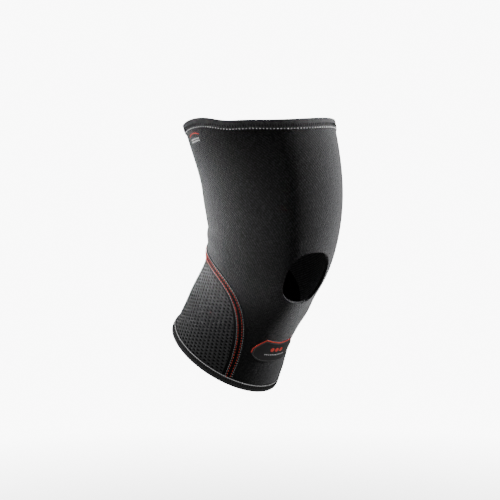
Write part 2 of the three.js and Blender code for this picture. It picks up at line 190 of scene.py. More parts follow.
# Meshes
def make(name, points, faces, material, smooth=True, sharp=40, uv=None):
    mesh = bpy.data.meshes.new(name)
    mesh.from_pydata((np.asarray(points) * MM).tolist(), [], [list(map(int, f)) for f in faces])
    if uv is not None:
        layer = mesh.uv_layers.new(name="cloth")
        layer.data.foreach_set("uv", np.asarray(uv, dtype=np.float32).ravel())
    mesh.polygons.foreach_set("use_smooth", [smooth] * len(mesh.polygons))
    mesh.update()
    if smooth and sharp:
        mesh.set_sharp_from_angle(angle=math.radians(sharp))
    obj = bpy.data.objects.new(name, mesh)
    bpy.context.scene.collection.objects.link(obj)
    mesh.materials.append(material)
    return obj


def cloth_uv(faces, along, theta):
    """Millimetres over the cloth, as metres, with faces that cross the back kept whole."""
    rows = []
    for f in faces:
        th = theta[list(f)]
        if th.max() - th.min() > math.pi:
            th = np.where(th < 0, th + 2 * math.pi, th)
        for k, i in enumerate(f):
            rows.append((th[k] * KNEE_RADIUS * MM, along[i] * SLEEVE_LENGTH * MM))
    return rows


def shell(name, along, theta, faces, layers, material, lining=None):
    """A closed piece of cloth from one grid: the faces at the first and last depth and a wall through all the depths."""
    along, theta = np.asarray(along), np.asarray(theta)
    count = len(along)
    edges = {}
    for f in faces:
        for a, b in zip(f, f[1:] + f[:1]):
            edges[(a, b)] = edges.get((a, b), 0) + 1
    rim = [(a, b) for (a, b) in edges if (b, a) not in edges]
    points = [cloth(along, theta, layers[0]), cloth(along, theta, layers[-1])]
    all_faces = [tuple(f) for f in faces] + [tuple(i + count for i in reversed(f)) for f in faces]
    rim_ids = sorted({i for e in rim for i in e})
    where = {v: k for k, v in enumerate(rim_ids)}
    a_rim, t_rim = along[rim_ids], theta[rim_ids]
    starts = [lambda v: v]
    base = 2 * count
    for depth in layers[1:-1]:
        points.append(cloth(a_rim, t_rim, depth))
        starts.append(lambda v, b=base: b + where[v])
        base += len(rim_ids)
    starts.append(lambda v: v + count)
    for a, b in rim:
        for upper, lower in zip(starts, starts[1:]):
            all_faces.append((upper(b), upper(a), lower(a), lower(b)))
    points = np.concatenate(points)
    all_along = np.concatenate([along, along] + [a_rim] * (len(layers) - 2))
    all_theta = np.concatenate([theta, theta] + [t_rim] * (len(layers) - 2))
    obj = make(name, points, all_faces, material, uv=cloth_uv(all_faces, all_along, all_theta))
    if lining is not None:
        obj.data.materials.append(lining)
        inside = np.zeros(len(all_faces), dtype=np.int32)
        inside[len(faces):2 * len(faces)] = 1
        obj.data.polygons.foreach_set("material_index", inside)
    return obj


# Materials
def principled(name, colour, roughness, sheen=0.0, sheen_rough=0.5, sheen_tint=(1, 1, 1), specular=0.5):
    material = bpy.data.materials.new(name)
    material.use_nodes = True
    nodes, links = material.node_tree.nodes, material.node_tree.links
    bsdf = nodes["Principled BSDF"]
    bsdf.inputs["Base Color"].default_value = (*colour, 1)
    bsdf.inputs["Roughness"].default_value = roughness
    bsdf.inputs["Specular IOR Level"].default_value = specular
    bsdf.inputs["Sheen Weight"].default_value = sheen
    bsdf.inputs["Sheen Roughness"].default_value = sheen_rough
    bsdf.inputs["Sheen Tint"].default_value = (*sheen_tint, 1)
    return material, nodes, links, bsdf


def node(nodes, kind, **inputs):
    n = nodes.new(kind)
    for key, value in inputs.items():
        n.inputs[key.replace("_", " ")].default_value = value
    return n


def maths(nodes, links, operation, a, b=None, clamp=False):
    n = nodes.new("ShaderNodeMath")
    n.operation = operation
    n.use_clamp = clamp
    for k, v in enumerate((a, b)):
        if v is None:
            continue
        if isinstance(v, (int, float)):
            n.inputs[k].default_value = v
        else:
            links.new(v, n.inputs[k])
    return n.outputs[0]


def ramp(nodes, links, source, stops):
    n = nodes.new("ShaderNodeValToRGB")
    elements = n.color_ramp.elements
    elements[0].position, elements[0].color = stops[0][0], (*stops[0][1], 1)
    elements[1].position, elements[1].color = stops[-1][0], (*stops[-1][1], 1)
    for position, colour in stops[1:-1]:
        e = elements.new(position)
        e.color = (*colour, 1)
    links.new(source, n.inputs[0])
    return n.outputs[0]


def scaled_noise(nodes, links, vector, scale, detail=2.0, rough=0.5):
    n = node(nodes, "ShaderNodeTexNoise", Scale=scale, Detail=detail, Roughness=rough)
    links.new(vector, n.inputs["Vector"])
    return n.outputs["Fac"]


def knit_material(name, dark, mid, light, roughness, sheen, pitch=1.9, twill=0.10, grain=1.0, lift=0.00042, specular=0.02, fuzz=0.5):
    """Fine jersey: faint slanted ribs, and a grain of short fibres that catch the light or leave small pits."""
    material, nodes, links, bsdf = principled(name, mid, roughness, sheen, fuzz, (0.97, 0.975, 1.0), specular)
    uv = nodes.new("ShaderNodeUVMap")
    uv.uv_map = "cloth"
    place = nodes.new("ShaderNodeTexCoord").outputs["Object"]
    split = nodes.new("ShaderNodeSeparateXYZ")
    links.new(uv.outputs["UV"], split.inputs[0])
    turn = 2 * math.pi / (pitch * MM) / math.sqrt(2)
    slant = maths(nodes, links, "SUBTRACT", split.outputs[1], split.outputs[0])
    wander = scaled_noise(nodes, links, place, 60, 2, 0.5)
    phase = maths(nodes, links, "ADD", maths(nodes, links, "MULTIPLY", slant, turn), maths(nodes, links, "MULTIPLY", wander, 5.0))
    ribs = maths(nodes, links, "SINE", phase)
    cross_ribs = maths(nodes, links, "SINE", maths(nodes, links, "MULTIPLY", maths(nodes, links, "ADD", split.outputs[0], split.outputs[1]), turn * 1.35))
    weave = maths(nodes, links, "ADD", ribs, maths(nodes, links, "MULTIPLY", cross_ribs, 0.45))
    fine = scaled_noise(nodes, links, place, 1500, 2, 0.6)
    speckle = scaled_noise(nodes, links, place, 430, 3, 0.8)
    broad = scaled_noise(nodes, links, place, 35, 3, 0.5)
    speckled = maths(nodes, links, "ADD", maths(nodes, links, "MULTIPLY", speckle, 1.7 * grain), maths(nodes, links, "MULTIPLY", fine, 0.6 * grain))
    tone = maths(nodes, links, "ADD", speckled, maths(nodes, links, "MULTIPLY", weave, twill))
    tone = maths(nodes, links, "ADD", tone, maths(nodes, links, "MULTIPLY", broad, 0.25))
    tone = maths(nodes, links, "SUBTRACT", tone, 1.15 * grain + 0.125 - 0.5)
    links.new(ramp(nodes, links, tone, [(0.24, dark), (0.5, mid), (0.76, light)]), bsdf.inputs["Base Color"])
    bump = nodes.new("ShaderNodeBump")
    bump.inputs["Strength"].default_value = 0.9
    bump.inputs["Distance"].default_value = lift
    links.new(tone, bump.inputs["Height"])
    links.new(bump.outputs[0], bsdf.inputs["Normal"])
    rough = maths(nodes, links, "ADD", maths(nodes, links, "MULTIPLY", fine, 0.2), roughness - 0.1)
    links.new(rough, bsdf.inputs["Roughness"])
    return material


KNIT = knit_material("knit", (0.001, 0.001, 0.0011), (0.004, 0.004, 0.0041), (0.014, 0.014, 0.0143), 0.85, 0.85, twill=0.12, fuzz=0.42)
LINING = knit_material("lining", (0.016, 0.016, 0.0165), (0.034, 0.034, 0.035), (0.06, 0.06, 0.06), 0.88, 0.15, pitch=2.4, twill=0.2, grain=0.6)
BAND = knit_material("band", (0.024, 0.024, 0.0244), (0.052, 0.052, 0.053), (0.09, 0.09, 0.092), 0.85, 0.22, pitch=1.4, twill=0.06, grain=0.6, lift=0.0002)
LATTICE = knit_material("lattice", (0.017, 0.017, 0.0173), (0.04, 0.04, 0.041), (0.078, 0.078, 0.08), 0.75, 0.5, pitch=1.0, twill=0.15, grain=0.6, lift=0.00006)
# The seam strip is near-black: its tape and overlock thread, and on its low flanks also painted shade beside the seam
STRIP = knit_material("strip", (0.0008, 0.0008, 0.0008), (0.0025, 0.0025, 0.0026), (0.007, 0.007, 0.007), 0.85, 0.2, pitch=1.2, twill=0.1, grain=0.8, lift=0.0001)
# The backing's own near-black; the mesh lattice also puts it on the walls of its holes as painted shade
BACKING_AND_HOLE_SHADE, _n, _l, _b = principled("backing", (0.004, 0.004, 0.0042), 0.92, specular=0.04)
_noise = scaled_noise(_n, _l, _n.new("ShaderNodeTexCoord").outputs["Object"], 900, 3, 0.6)
_l.new(ramp(_n, _l, _noise, [(0.3, (0.002, 0.002, 0.0021)), (0.7, (0.006, 0.006, 0.0062))]), _b.inputs["Base Color"])


def thread_material(name, dark, light, roughness, sheen, twist=900):
    """Spun thread: fine plies with light and dark fibres."""
    material, nodes, links, bsdf = principled(name, light, roughness, sheen, 0.4)
    place = nodes.new("ShaderNodeTexCoord").outputs["Object"]
    ply = node(nodes, "ShaderNodeTexWave", Scale=twist, Distortion=2.0, Detail=2.0)
    links.new(place, ply.inputs["Vector"])
    speck = scaled_noise(nodes, links, place, 1100, 3, 0.6)
    tone = maths(nodes, links, "ADD", maths(nodes, links, "MULTIPLY", ply.outputs["Fac"], 0.35), maths(nodes, links, "MULTIPLY", speck, 0.65))
    links.new(ramp(nodes, links, tone, [(0.25, dark), (0.7, light)]), bsdf.inputs["Base Color"])
    bump = nodes.new("ShaderNodeBump")
    bump.inputs["Strength"].default_value = 0.4
    bump.inputs["Distance"].default_value = 0.0001
    links.new(tone, bump.inputs["Height"])
    links.new(bump.outputs[0], bsdf.inputs["Normal"])
    return material


RED = thread_material("red_thread", (0.75, 0.035, 0.022), (1.0, 0.11, 0.065), 0.6, 0.3)
GREY = thread_material("grey_thread", (0.45, 0.45, 0.455), (0.92, 0.92, 0.93), 0.6, 0.4)
WHITE = thread_material("white_thread", (0.8, 0.8, 0.8), (1.0, 1.0, 1.0), 0.6, 0.6)

RUBBER, _n, _l, _b = principled("badge_rubber", (0.012, 0.012, 0.013), 0.48)
_place = _n.new("ShaderNodeTexCoord").outputs["Object"]
_grain = scaled_noise(_n, _l, _place, 2200, 3, 0.6)
_cloud = scaled_noise(_n, _l, _place, 120, 3, 0.6)
_l.new(ramp(_n, _l, _cloud, [(0.3, (0.009, 0.009, 0.0095)), (0.7, (0.018, 0.018, 0.019))]), _b.inputs["Base Color"])
_bump = _n.new("ShaderNodeBump")
_bump.inputs["Strength"].default_value = 0.35
_bump.inputs["Distance"].default_value = 0.00008
_l.new(_grain, _bump.inputs["Height"])
_l.new(_bump.outputs[0], _b.inputs["Normal"])
_l.new(maths(_n, _l, "ADD", maths(_n, _l, "MULTIPLY", _grain, 0.2), 0.36), _b.inputs["Roughness"])


# Body panel: columns run from the top hem to the arch and the lower hem
COLUMNS, ROWS = 216, 176
FOOT_SHARE = 0.2  # of the half ring at the top that runs to the front of the lower hem


def arch_lengths(grow):
    t = np.linspace(0, 1, 400)
    a, th = arch(t, grow)
    p = outer_face(a, th)
    s = np.concatenate([[0], np.cumsum(np.linalg.norm(np.diff(p, axis=0), axis=1))])
    return t, s / s[-1]


def lower_end(theta_top, grow):
    """Where a column that starts at an angle on the top hem ends below."""
    share = np.abs(theta_top) / np.pi
    side = np.sign(theta_top)
    t, s = arch_lengths(grow)
    _, foot = arch(np.array(1.0), grow)
    back = np.clip((1 - share) / (1 - FOOT_SHARE), 0, 1)
    arch_t = np.interp(back, s, t)
    a1, th1 = arch(arch_t, grow)
    on_arch = share > FOOT_SHARE
    th = np.where(on_arch, th1, share / FOOT_SHARE * foot) * side
    a = np.where(on_arch, above_bottom(th, (bottom_hem(th1) - a1) * SLEEVE_LENGTH), bottom_hem(th))
    return a, th


theta_top = (np.arange(COLUMNS) + 0.5) / COLUMNS * 2 * np.pi - np.pi
low_a, low_t = lower_end(theta_top, 0.15)
share = np.linspace(0, 1, ROWS + 1)
pull = share**1.6
grid_t = theta_top[:, None] + (low_t - theta_top)[:, None] * pull
start_a = top_hem(theta_top)[:, None]
grid_a = start_a + (low_a[:, None] - start_a) * share

i0, i1 = COLUMNS // 2 - 27, COLUMNS // 2 + 22
middle = grid_a[COLUMNS // 2]
j0, j1 = int(np.searchsorted(middle, KNEE_AT - 0.135)), int(np.searchsorted(middle, KNEE_AT + 0.135))
vid = -np.ones((COLUMNS, ROWS + 1), int)
alongs, thetas, quads = [], [], []
for i in range(COLUMNS):
    for j in range(ROWS + 1):
        if i0 < i < i1 and j0 < j < j1:
            continue
        vid[i, j] = len(alongs)
        alongs.append(grid_a[i, j])
        thetas.append(grid_t[i, j])
for i in range(COLUMNS):
    k = (i + 1) % COLUMNS
    for j in range(ROWS):
        if i0 <= i < i1 and j0 <= j < j1:
            continue
        quads.append((int(vid[i, j]), int(vid[i, j + 1]), int(vid[k, j + 1]), int(vid[k, j])))
loop = ([(i, j0) for i in range(i0, i1)] + [(i1, j) for j in range(j0, j1)]
        + [(i, j1) for i in range(i1, i0, -1)] + [(i0, j) for j in range(j1, j0, -1)])
RINGS = 16


def window_edge(direction, grow=0.0):
    c, s = math.cos(direction), math.sin(direction)
    r = ((abs(c) / (WINDOW_HEIGHT / 2 + grow)) ** WINDOW_SQUARENESS + (abs(s) / (WINDOW_WIDTH / 2 + grow)) ** WINDOW_SQUARENESS) ** (-1 / WINDOW_SQUARENESS)
    return KNEE_AT + r * c / SLEEVE_LENGTH, (WINDOW_SHIFT + r * s) / KNEE_RADIUS


spokes = []
for i, j in loop:
    a, th = grid_a[i, j], grid_t[i, j]
    direction = math.atan2(th * KNEE_RADIUS - WINDOW_SHIFT, (a - KNEE_AT) * SLEEVE_LENGTH)
    ea, eth = window_edge(direction)
    spoke = [int(vid[i, j])]
    for k in range(1, RINGS + 1):
        u = k / RINGS
        spoke.append(len(alongs))
        alongs.append(a + (ea - a) * u)
        thetas.append(th + (eth - th) * u)
    spokes.append(spoke)
for s0, s1 in zip(spokes, spokes[1:] + spokes[:1]):
    for k in range(RINGS):
        quads.append((s0[k], s0[k + 1], s1[k + 1], s1[k]))


def outward(along, theta, faces):
    """The faces, turned so that they face away from the leg."""
    p = outer_face(along, theta)
    f = np.array(faces)
    n = np.cross(p[f[:, 1]] - p[f[:, 0]], p[f[:, 2]] - p[f[:, 0]])
    out = slopes(along[f[:, 0]], theta[f[:, 0]])[2]
    flip = (n * out).sum(1) < 0
    return [tuple(int(v) for v in (row[::-1] if turned else row)) for row, turned in zip(f, flip)]


alongs, thetas = np.array(alongs), np.array(thetas)
quads = outward(alongs, thetas, quads)
body = shell("body_cloth", alongs, thetas, quads, [0, 0.45, 2.5, WALL], KNIT, LINING)

# Calf panel: a dark backing with a sheet of oval-holed mesh over it
ARCH_STEPS, PANEL_ROWS = 120, 26
arch_t = np.linspace(-1, 1, ARCH_STEPS + 1)
edge_a, edge_t = arch(arch_t, -0.15)
foot_a = bottom_hem(edge_t)
panel_a = edge_a[:, None] + (foot_a - edge_a)[:, None] * np.linspace(0, 1, PANEL_ROWS + 1)
panel_t = np.repeat(edge_t[:, None], PANEL_ROWS + 1, 1)
pid = np.arange(panel_a.size).reshape(panel_a.shape)
panel_faces = [(int(pid[i, j]), int(pid[i, j + 1]), int(pid[i + 1, j + 1]), int(pid[i + 1, j]))
               for i in range(ARCH_STEPS) for j in range(PANEL_ROWS)]
panel_faces = outward(panel_a.ravel(), panel_t.ravel(), panel_faces)
backing = shell("mesh_backing", panel_a.ravel(), panel_t.ravel(), panel_faces, [MESH_SINK + 0.6, MESH_SINK + MESH_WALL], BACKING_AND_HOLE_SHADE)

# Height above the origin against place along the leg, for each angle, so that the mesh's rows lie level
LEVEL_T = np.radians(np.arange(30, 331, 1.0))
LEVEL_A = np.linspace(0.5, 1.05, 221)
level_z = outer_face(LEVEL_A[None, :], LEVEL_T[:, None])[..., 2]
LEVEL_Z = np.arange(-150.0, 31.0, 1.0)
level_a = np.array([np.interp(-LEVEL_Z, -row, LEVEL_A) for row in level_z])


def along_at(theta, z):
    i = np.clip((theta - LEVEL_T[0]) / (LEVEL_T[1] - LEVEL_T[0]), 0, len(LEVEL_T) - 1.001)
    j = np.clip(z - LEVEL_Z[0], 0, len(LEVEL_Z) - 1.001)
    a, b = i.astype(int), j.astype(int)
    u, v = i - a, j - b
    return ((level_a[a, b] * (1 - u) + level_a[a + 1, b] * u) * (1 - v)
            + (level_a[a, b + 1] * (1 - u) + level_a[a + 1, b + 1] * u) * v)


ROW_PITCH, HOLE_PITCH, ROW_SHIFT = 3.35, 4.05, 0.8
HOLE_LONG, HOLE_WIDE, HOLE_SLANT = 1.75, 0.56, math.radians(34)
# Eight places round a cell, as shares of its sides, and the hole's corners facing them
CELL = [(-0.5, -0.5), (0, -0.5), (0.5, -0.5), (0.5, 0), (0.5, 0.5), (0, 0.5), (-0.5, 0.5), (-0.5, 0)]


def lattice():
    rows = range(-46, 4)
    reach = int(math.ceil(np.pi * CALF_RADIUS / HOLE_PITCH)) + 1
    cells = []
    for r in rows:
        for c in range(-reach, reach + 1):
            u = (c - round(r * ROW_SHIFT / HOLE_PITCH)) * HOLE_PITCH + r * ROW_SHIFT
            cells.append((r, c, u, r * ROW_PITCH + 8.0))
    points_a, points_t, depths, faces, painted_shade_walls = [], [], [], [], []
    corner = {}

    def place(u, z, depth):
        points_t.append(np.pi - u / CALF_RADIUS)
        points_a.append(z)
        depths.append(depth)
        return len(points_t) - 1

    centre_t = np.array([np.pi - c[2] / CALF_RADIUS for c in cells])
    centre_z = np.array([c[3] for c in cells])
    centre_a = along_at(centre_t, centre_z)
    spread = np.abs(np.degrees(np.pi - centre_t)) / PANEL_SPREAD
    height = (bottom_hem(centre_t) - centre_a) * SLEEVE_LENGTH
    limit = (PANEL_RISE - 1.0) * np.clip(1 - np.clip(spread * 1.005, 0, 1) ** PANEL_SHOULDER, 0, 1) ** 0.4
    keep = (height < limit) & (height > 2.0) & (spread < 0.985)
    ring_dirs = [math.atan2(y * ROW_PITCH, x * HOLE_PITCH) for x, y in CELL]
    for (r, c, u, z), kept in zip(cells, keep):
        if not kept:
            continue
        outer = []
        for x, y in CELL:
            # cells lean with the rows' shift, so neighbours share their corners
            px, pz = u + x * HOLE_PITCH + y * ROW_SHIFT, z + y * ROW_PITCH
            key = (round(px, 2), round(pz, 2))
            if key not in corner:
                corner[key] = place(px, pz, -0.18 if abs(y) > 0.4 else 0.0)
            outer.append(corner[key])
        rims = []
        for scale, depth in ((1.12, -0.05), (1.0, 0.12), (0.92, 0.55)):
            rim = []
            for direction in ring_dirs:
                local = direction - HOLE_SLANT
                lx, lz = math.cos(local) * HOLE_LONG * scale, math.sin(local) * HOLE_WIDE * scale
                px = u + lx * math.cos(HOLE_SLANT) - lz * math.sin(HOLE_SLANT)
                pz = z + lx * math.sin(HOLE_SLANT) + lz * math.cos(HOLE_SLANT)
                rim.append(place(px, pz, depth))
            rims.append(rim)
        for k in range(8):
            n = (k + 1) % 8
            faces.append((outer[k], outer[n], rims[0][n], rims[0][k]))
            faces.append((rims[0][k], rims[0][n], rims[1][n], rims[1][k]))
            faces.append((rims[1][k], rims[1][n], rims[2][n], rims[2][k]))
            # The hole's two inner wall rings take the backing's black: painted shade inside each hole
            painted_shade_walls += [0, 1, 1]
    t = np.array(points_t)
    a = along_at(t, np.array(points_a))
    faces = outward(a, t, faces)
    points = cloth(a, t, np.array(depths) + MESH_SINK)
    obj = make("mesh_lattice", points, faces, LATTICE, sharp=0, uv=cloth_uv(faces, a, t))
    obj.data.materials.append(BACKING_AND_HOLE_SHADE)
    obj.data.polygons.foreach_set("material_index", painted_shade_walls)
    return obj


lattice_sheet = lattice()


# Threads: each stitch is a short, round-ended piece of yarn
def stitches(name, starts, ends, ups, radius, material, sides=6, sag=0.35):
    starts, ends, ups = (np.asarray(v, float) for v in (starts, ends, ups))
    rows = [(0.0, 0.25, -1.0), (0.06, 0.8, -0.45), (0.25, 1.0, 0.0), (0.5, 1.05, 0.12), (0.75, 1.0, 0.0), (0.94, 0.8, -0.45), (1.0, 0.25, -1.0)]
    points, faces = [], []
    run = ends - starts
    run_unit = run / np.linalg.norm(run, axis=1, keepdims=True)
    side = np.cross(run_unit, ups)
    side /= np.linalg.norm(side, axis=1, keepdims=True)
    ring = [(math.cos(2 * math.pi * k / sides), math.sin(2 * math.pi * k / sides)) for k in range(sides)]
    count = len(starts)
    for share_, wide, dip in rows:
        centre = starts + run * share_ + ups * (dip * sag * radius / 0.35)
        for c, s in ring:
            points.append(centre + side * (c * radius * wide) + ups * (s * radius * wide * 0.8))
    points = np.stack(points, 1)  # stitch, vertex, xyz
    per = points.shape[1]
    one = []
    for r in range(len(rows) - 1):
        for k in range(sides):
            n = (k + 1) % sides
            one.append((r * sides + k, r * sides + n, (r + 1) * sides + n, (r + 1) * sides + k))
    one.append(tuple(range(sides - 1, -1, -1)))
    last = (len(rows) - 1) * sides
    one.append(tuple(last + k for k in range(sides)))
    for m in range(count):
        faces.extend(tuple(v + m * per for v in f) for f in one)
    return make(name, points.reshape(-1, 3), faces, material, sharp=0)


def polyline(a, t):
    p = outer_face(a, t)
    s = np.concatenate([[0], np.cumsum(np.linalg.norm(np.diff(p, axis=0), axis=1))])
    return s


# Flat seam over the arch: a low padded strip, two red stitch rows and a grey thread along each edge. The strip's low,
# very dark flanks, widest on the mesh side, are dark overlock thread and painted shade beside the raised seam
SEAM_FOOT = BOTTOM_BAND - 1.0
fine_t = np.linspace(-1, 1, 1601)
fine_a, fine_th = arch(fine_t)
on_seam = (bottom_hem(fine_th) - fine_a) * SLEEVE_LENGTH > SEAM_FOOT
fine_t = fine_t[on_seam]
fine_a, fine_th = arch(fine_t)
fine_s = polyline(fine_a, fine_th)
seam_length = fine_s[-1]


def seam_place(s, distance):
    """Places at a distance along the seam and some millimetres to its outer side."""
    t = np.interp(s, fine_s, fine_t)
    a, th = arch(t)
    before, after = arch(np.clip(t - 0.002, -1, 1)), arch(np.clip(t + 0.002, -1, 1))
    return sideways(a, th, after[0] - before[0], after[1] - before[1], np.asarray(distance) * SEAM_SIDE)


SEAM_SIDE = 1.0
_probe = seam_place(np.array([seam_length / 2]), np.array([1.0]))
if _probe[0][0] > arch(np.array([0.0]))[0][0]:
    SEAM_SIDE = -1.0

# Across the seam in mm, negative towards the mesh, and height above the cloth: the low rows out to -7.0 and 4.8 are the
# very dark flanks, dark overlock thread and painted shade beside the seam
SEAM_PROFILE = [(-7.0, 0.02), (-6.6, 0.16), (-5.0, 0.2), (-4.65, 0.42), (-4.1, 0.55), (-3.5, 0.6), (-2.6, 0.7), (-1.75, 0.8), (-0.9, 0.74), (0.0, 0.5), (0.9, 0.74), (1.75, 0.8), (2.6, 0.7), (3.5, 0.6), (4.1, 0.5), (4.5, 0.3), (4.8, 0.04)]
seam_steps = 300
seam_s = np.linspace(0, seam_length, seam_steps + 1)
rows_a, rows_t, rows_d = [], [], []
for offset, height in SEAM_PROFILE:
    a, th = seam_place(seam_s, offset)
    rows_a.append(a); rows_t.append(th); rows_d.append(np.full_like(a, -height))
for offset in (3.6, 0.0, -3.6):
    a, th = seam_place(seam_s, offset)
    rows_a.append(a); rows_t.append(th); rows_d.append(np.full_like(a, -0.02))
rows_a, rows_t, rows_d = (np.array(v).T for v in (rows_a, rows_t, rows_d))
seam_points = cloth(rows_a.ravel(), rows_t.ravel(), rows_d.ravel())
m = rows_a.shape[1]
seam_faces = [(i * m + k, i * m + (k + 1) % m, (i + 1) * m + (k + 1) % m, (i + 1) * m + k) for i in range(seam_steps) for k in range(m)]
seam_faces += [tuple(range(m - 1, -1, -1)), tuple(seam_steps * m + k for k in range(m))]
seam_strip = make("seam_strip", seam_points, seam_faces, STRIP, sharp=0, uv=cloth_uv(seam_faces, rows_a.ravel(), rows_t.ravel()))


def row_of_stitches(name, offset, pitch, length, radius, height, material, slant=0.0, phase=0.0):
    n = int(seam_length / pitch)
    s0 = (np.arange(n) + phase) * seam_length / n
    a0, t0 = seam_place(s0, offset - slant / 2)
    a1, t1 = seam_place(np.minimum(s0 + length, seam_length), offset + slant / 2)
    ups = slopes(a0, t0)[2]
    return stitches(name, cloth(a0, t0, -height), cloth(a1, t1, -height), ups, radius, material)


red_rows = [
    row_of_stitches("seam_red_inner", -1.95, 3.1, 1.5, 0.39, 1.0, RED, 0.28),
    row_of_stitches("seam_red_outer", 1.95, 3.1, 1.5, 0.39, 1.0, RED, 0.28, 0.45),
]
grey_rows = [
    row_of_stitches("seam_grey_inner", -3.3, 2.5, 1.2, 0.29, 0.72, GREY, 0.3, 0.25),
    row_of_stitches("seam_grey_outer", 3.4, 2.5, 1.2, 0.31, 0.72, GREY, 0.3, 0.7),
]


# Edge bindings: a rolled tape over each hem, pits where its cover stitch pulls it in, a line of white thread at its edge
def binding(name, hem_line, sign, band, steps=420):
    theta = (np.arange(steps) + 0.5) / steps * 2 * np.pi - np.pi
    reach = band - 1.3
    mid = WALL / 2
    half = WALL / 2 + 1.3
    profile = [(-reach, -0.06), (-reach + 0.12, -0.5), (-reach + 0.7, -0.78), (-reach * 0.76, -0.86), (-reach * 0.56, -0.95), (-reach * 0.32, -1.15), (-reach * 0.12, -1.3)]
    for k in range(1, 8):
        turn = math.pi * k / 8
        profile.append((1.35 * math.sin(turn) - 0.05, mid - half * math.cos(turn)))
    tuck = BAND_TUCK - 1.3
    profile += [(-tuck * 0.3, WALL + 1.3), (-tuck * 0.8, WALL + 1.25), (-tuck, WALL + 0.9), (-tuck, WALL + 0.06), (0.2, WALL + 0.06), (0.2, -0.06)]
    girth = 2 * np.pi * (THIGH_RADIUS if sign < 0 else CALF_RADIUS)
    pulls = round(girth / 2.6)
    wave = np.cos(pulls * theta)
    a_rows, t_rows, d_rows = [], [], []
    for over, depth in profile:
        pulled = 0.0
        if -reach * 0.9 < over < -reach * 0.4 and depth < 0:
            pulled = 0.16
        elif depth < 0 and over > -reach * 0.4:
            pulled = 0.05
        a_rows.append(hem_line(theta) + sign * over / SLEEVE_LENGTH)
        t_rows.append(theta)
        d_rows.append(depth + pulled * wave)
    a, t, d = (np.array(v).T for v in (a_rows, t_rows, d_rows))
    count = a.shape[1]
    points = cloth(a.ravel(), t.ravel(), d.ravel())
    faces = [(i * count + k, i * count + (k + 1) % count, ((i + 1) % steps) * count + (k + 1) % count, ((i + 1) % steps) * count + k)
             for i in range(steps) for k in range(count)]
    p = points[np.array(faces)]
    inward = (np.cross(p[:, 1] - p[:, 0], p[:, 2] - p[:, 0]) * p[:, 0]).sum()
    centre = points.mean(0)
    volume = (np.cross(p[:, 1] - p[:, 0], p[:, 2] - p[:, 0]) * (p[:, 0] - centre)).sum()
    if volume < 0:
        faces = [f[::-1] for f in faces]
    obj = make(name, points, faces, BAND, sharp=0, uv=cloth_uv(faces, a.ravel(), t.ravel()))
    # upright cover stitches, one in each pit, near-black as dark thread and as painted shade in the pits
    z = (np.arange(pulls) + 0.5) / pulls * 2 * np.pi - np.pi
    lean_ = 0.08 * 2 * np.pi / pulls
    level = -reach * 0.64
    h0 = hem_line(z) + sign * (level - 1.7) / SLEEVE_LENGTH
    h1 = hem_line(z + lean_) + sign * (level + 1.7) / SLEEVE_LENGTH
    pits = stitches(name + "_stitches", cloth(h0, z, -0.94), cloth(h1, z + lean_, -1.06), slopes(h0, z)[2], 0.45, PIT_THREAD_AND_SHADE)
    return obj, pits


# Near-black for the cover stitches: dark thread, and painted shade of the pits they sit in
PIT_THREAD_AND_SHADE = thread_material("pit_thread_and_shade", (0.0015, 0.0015, 0.0016), (0.005, 0.005, 0.0052), 0.9, 0.0)
top_band, top_pits = binding("top_band", top_hem, -1, TOP_BAND)
bottom_band, bottom_pits = binding("bottom_band", bottom_hem, 1, BOTTOM_BAND)


def edge_line(name, hem_line, sign, band, pitch, length, radius):
    theta = (np.arange(720) + 0.5) / 720 * 2 * np.pi - np.pi
    a = hem_line(theta) - sign * (band - 1.25) / SLEEVE_LENGTH
    s = polyline(np.append(a, a[0]), np.append(theta, theta[0] + 2 * np.pi))
    n = round(s[-1] / pitch)
    where = np.append(theta, theta[0] + 2 * np.pi)
    t0 = np.interp(np.arange(n) * s[-1] / n, s, where)
    t1 = np.interp(np.arange(n) * s[-1] / n + length, s, where)
    line = lambda t: hem_line(t) - sign * (band - 1.25) / SLEEVE_LENGTH
    return stitches(name, cloth(line(t0), t0, -0.72), cloth(line(t1), t1, -0.72), slopes(line(t0), t0)[2], radius, WHITE)


top_white = edge_line("top_white_stitches", top_hem, -1, TOP_BAND, 3.4, 1.6, 0.54)
bottom_white = edge_line("bottom_white_stitches", bottom_hem, 1, BOTTOM_BAND, 2.3, 2.2, 0.5)

# Badge: a raised rubber patch with an embossed border, a thin red line on its upper edges and plain raised dots. A
# lighter grey ribbon along the embossed ridge is a painted highlight where the ridge catches light
BADGE_OUTLINE = [(0.0, 0.0, 0.93), (0.3, 0.0, 0.96), (0.6, 0.02, 1.0), (0.76, 0.07, 0.84), (0.92, 0.19, 0.64), (1.0, 0.3, 0.5)]


def badge_edges(across, inset=0.0):
    table = np.array(BADGE_OUTLINE)
    q = np.abs(across)
    low = np.interp(q, table[:, 0], table[:, 1]) * BADGE_HEIGHT + inset
    high = np.interp(q, table[:, 0], table[:, 2]) * BADGE_HEIGHT - inset
    return low, high


badge_tip = BADGE_LIFT + BADGE_HEIGHT * 0.4
_t = np.linspace(1, 0, 4001)
_a, _th = arch(_t)
seam_angle = float(np.interp(badge_tip, (bottom_hem(_th) - _a) * SLEEVE_LENGTH, _th))
BADGE_WIDTH = 2 * (seam_angle * CALF_RADIUS - SEAM_WIDTH / 2 - BADGE_CLEAR)


def badge_place(across, height):
    theta = BADGE_WIDTH / 2 * across / CALF_RADIUS
    return above_bottom(theta, BADGE_LIFT + height + BADGE_TILT * across), theta


